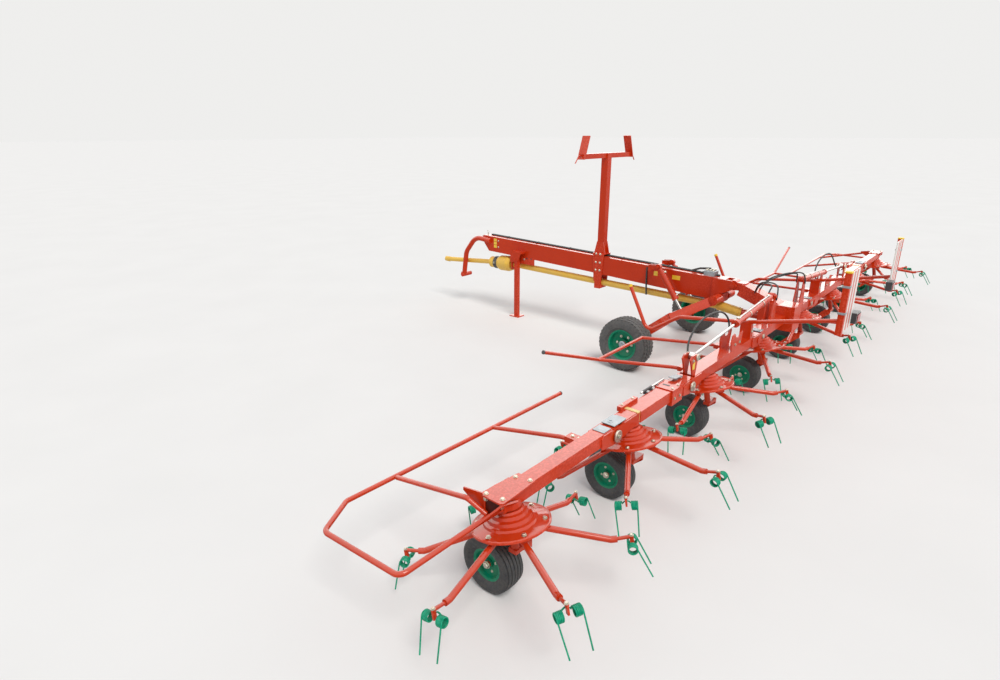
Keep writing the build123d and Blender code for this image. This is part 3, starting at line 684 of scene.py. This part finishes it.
def inner_details(name, side):
    """Rod eye washers, cradle bolts, rail fixings and the blank label of the inner section."""
    body = f"inner_{name}"
    ex, ez = FOLD_EYE
    steel = Builder()
    for out in (-1, 1):
        steel.disc(at(side * ex, out * 0.043, ez), (0, out, 0), 0.029, 0.012)
        steel.bolt(at(side * (ex + 0.078), out * 0.043, ez - 0.012), (0, out, 0), 0.012)
        for k in range(2):
            cradle = HINGES["inner"] + 0.53 + 0.11 * k
            steel.bolt(at(side * cradle, out * 0.060, 0.845), (0, out, 0), 0.012)
    steel.bolt(at(side * RAIL_X, 0.056, 0.870), REAR, 0.012)
    steel.disc(at(side * HINGES["inner"], BEAM_FACES[1] - 0.002, HINGE_Z), REAR, 0.021, 0.0035)
    steel.done(f"inner_section_bolts_{name}", STEEL, body)
    label = Builder()
    corners = [(ex + 0.036, 0.845), (ex + 0.078, 0.850), (ex + 0.082, 0.900), (ex + 0.034, 0.915)]
    label.grid([[at(side * x, y, z) for x, z in corners] for y in (0.0427, 0.0440)])
    label.done(f"blank_label_{name}", STICKER, body)


# Cylinders and hoses
def hydraulic_pipes(name, side):
    """Steel pipe along the folding cylinder, its two banjo fittings and the clips that hold it."""
    body = f"fold_barrel_{name}"
    base = at(side * FOLD_BASE[0], 0.0, FOLD_BASE[1])
    eye = at(side * FOLD_EYE[0], 0.0, FOLD_EYE[1])
    along = (eye - base).normalized()
    up = (Vector(UP) - along * along.z).normalized()
    pipe = Builder()
    path = [base + along * reach + up * lift + Vector((0, 0.014, 0))
            for reach, lift in ((0.13, 0.030), (0.13, 0.048), (0.90, 0.048), (0.95, 0.032))]
    pipe.tube(rounded_path(path, 0.02), 0.0055, 10)
    pipe.done(f"barrel_pipe_{name}", CHROME, body)
    ports = Builder()
    nut = [(0.0005, -0.002), (0.016, -0.002), (0.016, 0.014), (0.012, 0.018), (0.0005, 0.018)]
    clip = [(0.0345, -0.008), (0.0375, -0.008), (0.0375, 0.008), (0.0345, 0.008)]
    for reach in (0.13, 0.955):
        ports.lathe(nut, facing(base + along * reach + up * 0.033, up), 20)
    for reach in (0.32, 0.68):
        ports.lathe(clip, facing(base + along * reach, along), 32, closed=True)
    ports.done(f"barrel_ports_{name}", STEEL, body)


def lift_ports(name, side):
    """Two hose ports on the outer side of the lift cylinder."""
    b = Builder()
    low = at(side * LIFT_X, *LIFT_BASE)
    high = at(side * LIFT_X, *LIFT_EYE)
    ahead = (high - low).normalized()
    out = Vector((0, ahead.z, -ahead.y)) * (1 if ahead.z < 0 else -1)
    nut = [(0.0005, -0.002), (0.015, -0.002), (0.015, 0.016), (0.011, 0.020), (0.0005, 0.020)]
    for reach in (0.10, 0.43):
        b.lathe(nut, facing(low + ahead * reach - out * 0.037, -out), 20)
    b.done(f"lift_ports_{name}", STEEL, f"lift_barrel_{name}")


def free_cord(name, points, width, body):
    """Smooth hose or strap along control points, as a curve object that rides a body."""
    curve = bpy.data.curves.new(name, "CURVE")
    curve.dimensions = "3D"
    curve.bevel_depth = width / 2
    curve.bevel_resolution = 4
    curve.use_fill_caps = True
    spline = curve.splines.new("NURBS")
    spline.points.add(len(points) - 1)
    for point, place in zip(spline.points, points):
        point.co = (*place, 1.0)
    spline.order_u = 3
    spline.use_endpoint_u = True
    spline.resolution_u = 12
    cord = bpy.data.objects.new(name, curve)
    bpy.context.scene.collection.objects.link(cord)
    curve.materials.append(HOSE)
    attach(cord, body)


def wing_hose(name, side):
    """Black hose that bows up beside the cylinder, with both its ends on the inner section."""
    route = [(1.490, -0.066, 0.900), (1.420, -0.095, 1.000), (1.600, -0.105, 1.140), (1.880, -0.105, 1.185),
             (2.180, -0.105, 1.165), (2.370, -0.095, 1.040), (2.420, -0.072, 0.945), (2.462, -0.046, 0.905)]
    points = [at(side * x, y, z) for x, y, z in route]
    free_cord(f"wing_hose_{name}", points, 0.018, f"inner_{name}")


def knuckle_hoses(name, side):
    """Two hoses that arch from the arm's top to the foot of each folding cylinder."""
    for k in range(2):
        route = [(0.060 + 0.025 * k, -0.330, 0.985), (0.080 + 0.030 * k, -0.300, 1.085 + 0.02 * k),
                 (0.250, -0.170, 1.160 + 0.02 * k), (0.430, -0.030 + 0.05 * k, 1.190 + 0.02 * k),
                 (0.500, -0.050 + 0.10 * k, 1.120), (0.510, -0.048 + 0.096 * k, 1.050)]
        points = [at(side * x, y, z) for x, y, z in route]
        free_cord(f"knuckle_hose_{k + 1}_{name}", points, 0.016, "centre")


def loose_strap():
    """Black rubber strap that hangs down the drawbar's near side."""
    route = [(0.079, -1.752, 1.098), (0.083, -1.752, 1.000), (0.084, -1.746, 0.860), (0.081, -1.736, 0.725)]
    points = [at(*p) for p in route]
    free_cord("hanging_strap", points, 0.022, "chassis")


# Ends, guards and markers of the row
def outer_end(name, side):
    """Flat dark panel of painted shade on the end of the outer beam, standing in for a recessed hollow, with
    a lip round it.
    """
    hollow, lips = Builder(), Builder()
    corners = [(-0.078, 0.783), (0.060, 0.783), (0.058, 0.742), (-0.036, 0.662), (-0.080, 0.662)]
    # Painted shade: a dark sheet 1.2 mm thick on the end face, not a recess.
    hollow.grid([[at(side * x, y, z) for y, z in corners] for x in (END_FACE, END_FACE + 0.0012)])
    lip = [at(side * (END_FACE + 0.004), y, z) for y, z in corners + corners[:1]]
    lips.tube(lip, 0.0055, 10)
    hollow.done(f"end_painted_shade_{name}", PAINTED_SHADE_RED, f"outer_{name}")
    lips.done(f"end_lips_{name}", RED, f"outer_{name}")


def outer_bolts(name, side):
    """Bolts of the end plates and of the lug on the outer section."""
    b = Builder()
    for x, y in ((4.789, -0.058), (4.761, 0.034), (5.040, -0.070), (5.020, 0.040)):
        b.bolt(at(side * x, y, BEAM_TOP + 0.0078), UP, 0.0125)
    for y in (-0.075, 0.050):
        b.bolt(at(side * 5.0385, y, 0.762), (side, 0, 0), 0.0125)
    b.bolt(at(side * 4.050, -0.150, 0.748), UP, 0.0125)
    b.bolt(at(side * 4.050, -0.100, 0.748), UP, 0.0100)
    b.done(f"outer_section_bolts_{name}", STEEL, f"outer_{name}")


def guard_plugs(name, side):
    """Black plugs in the open ends of the guard tubes."""
    outer, inner = Builder(), Builder()
    outer.disc(at(side * 3.159, -0.905, 0.557), (-side, 0, 0), 0.0185, 0.012)
    outer.done(f"outer_guard_plug_{name}", BLACK, f"outer_{name}")
    inner.disc(at(side * 3.307, -0.988, 0.9735), (side * 0.92, -0.06, 0.34), 0.0185, 0.012)
    inner.done(f"inner_guard_plug_{name}", BLACK, f"inner_{name}")


def marker_details(name, side):
    """Lamp with its red lens, clamps of the marker board, and caps on its post and on the rail."""
    body = f"inner_{name}"
    lens, lamp_box, clamp, caps = Builder(), Builder(), Builder(), Builder()
    lens.slab(side, (0.775, 0.885), (0.9055, 0.9115), (1.062, 1.138), 0.003)
    lens.done(f"lamp_lens_{name}", LENS, body)
    lamp_box.slab(side, (0.757, 0.903), (0.8365, 0.9070), (1.047, 1.153), 0.006)
    lamp_box.done(f"side_lamp_{name}", BLACK, body)
    for z in (1.200, 1.450):
        clamp.slab(side, (RAIL_X - 0.030, RAIL_X + 0.030), (0.800, 0.8635), (z, z + 0.022))
    clamp.done(f"board_clamps_{name}", ZINC, body)
    caps.slab(side, (RAIL_X - 0.0275, RAIL_X + 0.0275), (0.8025, 0.8625), (1.586, 1.604), 0.004)
    dome = [(0.0195, -0.022), (0.0225, -0.022), (0.0225, 0.003), (0.018, 0.008), (0.0005, 0.008)]
    caps.lathe(dome, facing(at(side * RAIL_X, *RAIL_TIP), RAIL_SLOPE), 24)
    caps.done(f"rail_caps_{name}", CAP, body)


# Drawbar
def drawbar_labels():
    """Blank labels on both sides of the drawbar."""
    b = Builder()
    places = [(-4.470, z, 0.062, 0.044) for z in (1.160, 1.108, 1.056)]
    places += [(-1.625, 1.030, 0.055, 0.060), (-1.335, 1.016, 0.110, 0.055)]
    for y, z, wide, tall in places:
        for side in (-1, 1):
            b.slab(side, (DRAWBAR_FACE - 0.0006, DRAWBAR_FACE + 0.0006), (y - wide / 2, y + wide / 2),
                   (z - tall / 2, z + tall / 2), 0.0004)
    b.done("blank_labels", STICKER, "chassis")


def drawbar_bolts():
    """Bolts of the mast's bracket, the neck and the bearing plate, the ringed pin in front, and black discs
    of painted shade for the bores of the hole plate.
    """
    steel = Builder()
    for side in (-1, 1):
        for y in (-2.548, -2.482):
            for z in (1.180, 1.060, 0.950):
                steel.bolt(at(side * 0.087, y, z), (side, 0, 0), 0.0125)
        for z in (1.150, 1.050):
            steel.bolt(at(side * 0.0755, -4.400, z), (side, 0, 0), 0.0110)
    for y in (-3.96, -3.91, -3.86):
        steel.bolt(at(0.078, y, 0.925), (1, 0, 0), 0.0125)
    x, y = 0.035, -4.66
    top = drawbar_top(y)
    steel.tube([at(x, y, top - 0.01), at(x, y, top + 0.050)], 0.008, 12)
    turns = [math.pi * k / 12 for k in range(25)]
    ring = [at(x, y + 0.018 * math.sin(t), top + 0.062 + 0.018 * math.cos(t)) for t in turns]
    steel.tube(ring, 0.003, 8)
    steel.done("drawbar_bolts", STEEL, "chassis")
    # Painted shade: thin black discs on the drawbar's side plate stand in for the dark inside of its bores.
    hollows = Builder()
    for y in (-4.049, -3.810, -3.726):
        hollows.disc(at(0.0775, y, 0.945), (1, 0, 0), 0.012, 0.0015)
    hollows.done("hole_plate_bore_shade", BLACK, "chassis")


def hose_clips():
    """Clips that hold the hydraulic lines on the drawbar."""
    b = Builder()
    for y in (-4.30, -3.70, -3.10, -2.20, -1.60, -1.05):
        top = drawbar_top(y)
        b.block(at(-0.078, y - 0.010, top - 0.001), at(-0.014, y + 0.010, top + 0.020), 0.003)
        b.block(at(-0.078, y - 0.010, top - 0.020), at(-0.0745, y + 0.010, top + 0.018), 0.001)
    b.done("hose_clips", BLACK, "chassis")


def valve():
    """Valve block on the drawbar's rear with nine capped ports."""
    top = drawbar_top(-0.900)
    block, ports = Builder(), Builder()
    block.block(at(-0.070, -0.990, top - 0.004), at(0.050, -0.850, top + 0.062), 0.004)
    block.done("valve_block", ZINC, "chassis")
    nut = [(0.0005, 0.0), (0.011, 0.0), (0.011, 0.016), (0.008, 0.020), (0.0005, 0.020)]
    for k in range(3):
        for x in (-0.050, -0.010, 0.030):
            ports.lathe(nut, facing(at(x, -0.960 + 0.040 * k, top + 0.060), UP), 16)
    ports.done("valve_ports", STEEL, "chassis")


def hose_sheath():
    """Sheath in which the hydraulic lines rise to the valve."""
    b = Builder()
    route = [(-0.046, -1.180, 0.012), (-0.040, -1.080, 0.055)]
    route += [(-0.030, -1.000, 0.070), (-0.020, -0.930, 0.080)]
    path = [at(x, y, drawbar_top(y) + height) for x, y, height in route]
    b.tube(rounded_path(path, 0.05), 0.013, 12)
    b.done("hose_sheath", HOSE, "chassis")


def bell_band():
    """Black clamping band in the groove between the two bells, with its screw."""
    y, z = BELL_FRONT
    band = Builder()
    rim = [(0.0755, 0.114), (0.0900, 0.098), (0.0985, 0.104)]
    rim += [(0.1005, 0.130), (0.1005, 0.168), (0.0990, 0.180), (0.0755, 0.166)]
    band.lathe(rim, facing(at(0.0, y, z), SHAFT_SLOPE), 40, closed=True)
    band.done("bell_band", BLACK, "chassis")
    screw = Builder()
    screw.block(at(0.094, y + 0.124, z), at(0.108, y + 0.148, z + 0.034), 0.003)
    screw.done("bell_band_screw", STEEL, "chassis")


def crossbar_bolts():
    """Bolts that hold the crossbar to the mast."""
    b = Builder()
    for side in (-1, 1):
        for z in (2.480, 2.516):
            b.bolt(at(side * 0.030, -2.5455, z), (0, -1, 0), 0.0085)
    b.done("crossbar_bolts", STEEL, "chassis")


# Materials of the CAD nodes
def dress_nodes():
    """Gives each CAD node the material of its slot, with sharp edges kept."""
    finishes = {"red_paint": RED, "green_paint": GREEN, "green_spring": SPRING, "tyre": TYRE,
                "yellow_guard": YELLOW, "hose": HOSE, "chrome": CHROME, "board": BOARD}
    slots = {entry["node"]: entry["material_slot"] for entry in frame["record"]["subparts"]}
    for name, node in frame["nodes"].items():
        node.data.materials.clear()
        node.data.materials.append(finishes[slots[name]])
        node.data.set_sharp_from_angle(angle=math.radians(32))


# Stage
def lamp(name, place, energy, spread, colour=(1.0, 1.0, 1.0)):
    """Sun that shines from place towards the machine, with soft shadows."""
    data = bpy.data.lights.new(name, "SUN")
    data.energy = energy
    data.angle = math.radians(spread)
    data.color = colour
    thing = bpy.data.objects.new(name, data)
    thing.location = place
    thing.rotation_euler = (Vector(LAMP_TARGET) - Vector(place)).to_track_quat("-Z", "Y").to_euler()
    bpy.context.scene.collection.objects.link(thing)


def sky():
    """Even daylight, a brighter sky for reflections, and the floor's own pale tone behind the machine."""
    world = bpy.data.worlds.new("studio")
    bpy.context.scene.world = world
    world.use_nodes = True
    tree = world.node_tree
    seen = tree.nodes.new("ShaderNodeLightPath")
    shade = tree.nodes["Background"]
    shade.inputs["Color"].default_value = (0.97, 0.98, 1.0, 1.0)
    shade.inputs["Strength"].default_value = SKY_LIGHT
    layers = ((seen.outputs["Is Glossy Ray"], (1.0, 0.98, 0.95), SKY_SHINE),
              (seen.outputs["Is Camera Ray"], BACKDROP, 1.0))
    for ray, colour, strength in layers:
        layer = tree.nodes.new("ShaderNodeBackground")
        layer.inputs["Color"].default_value = (*colour, 1.0)
        layer.inputs["Strength"].default_value = strength
        mix = tree.nodes.new("ShaderNodeMixShader")
        tree.links.new(ray, mix.inputs[0])
        tree.links.new(shade.outputs[0], mix.inputs[1])
        tree.links.new(layer.outputs[0], mix.inputs[2])
        shade = mix
    tree.links.new(shade.outputs[0], tree.nodes["World Output"].inputs["Surface"])


def floor():
    """Wide pale floor."""
    mesh = bpy.data.meshes.new("floor")
    corners = [(-FLOOR_HALF, -FLOOR_HALF, 0), (FLOOR_HALF, -FLOOR_HALF, 0),
               (FLOOR_HALF, FLOOR_HALF, 0), (-FLOOR_HALF, FLOOR_HALF, 0)]
    mesh.from_pydata(corners, [], [(0, 1, 2, 3)])
    thing = bpy.data.objects.new("floor", mesh)
    bpy.context.scene.collection.objects.link(thing)
    g = Graph("floor_pale")
    g.colour(g.mix(g.ramp(g.noise(0.8, 3.0), 0.3, 0.7), (0.80, 0.80, 0.80), (0.82, 0.82, 0.82)))
    g.shader.inputs["Roughness"].default_value = 0.9
    g.shader.inputs["Specular IOR Level"].default_value = 0.0
    mesh.materials.append(g.material)


def camera():
    """Camera of the photograph, from its place, its angles and its focal length in pixels."""
    level = Vector((math.sin(CAMERA_YAW), math.cos(CAMERA_YAW), 0.0))
    forward = level * math.cos(CAMERA_PITCH) - Vector((0, 0, math.sin(CAMERA_PITCH)))
    right = forward.cross(Vector(UP)).normalized()
    up = right.cross(forward)
    c, s = math.cos(CAMERA_ROLL), math.sin(CAMERA_ROLL)
    right, up = right * c + up * s, up * c - right * s
    turn = Matrix((right, up, -forward)).transposed()
    data = bpy.data.cameras.new("camera")
    data.sensor_fit = "HORIZONTAL"
    data.sensor_width = SENSOR_WIDTH
    data.lens = SENSOR_WIDTH * FOCAL_PIXELS / PHOTO_WIDTH
    data.clip_end = 700.0
    thing = bpy.data.objects.new("camera", data)
    thing.matrix_world = Matrix.Translation(Vector(CAMERA_PLACE)) @ turn.to_4x4()
    bpy.context.scene.collection.objects.link(thing)
    bpy.context.scene.camera = thing


# Build
dress_nodes()
for number in range(ROTORS):
    springs(number)
    rotor_fittings(number)
    small_wheel(number)
sided_parts = (transport_wheel, centre_hinge, hinge_covers, beam_strap, lock_rod, middle_bolts,
               guide_plate, inner_details, hydraulic_pipes, lift_ports, wing_hose, knuckle_hoses,
               outer_bolts, outer_end, guard_plugs, marker_details)
for side_name, side_sign in SIDES:
    for sided_part in sided_parts:
        sided_part(side_name, side_sign)
loose_strap()
drawbar_labels()
drawbar_bolts()
hose_clips()
valve()
hose_sheath()
bell_band()
crossbar_bolts()
sky()
floor()
lamp("sun", place=(4.0, 9.0, 12.0), energy=1.9, spread=25, colour=(1.0, 0.97, 0.92))
lamp("fill", place=(-9.0, -2.0, 6.0), energy=0.35, spread=50)
camera()
bpy.context.scene.view_settings.view_transform = "Standard"
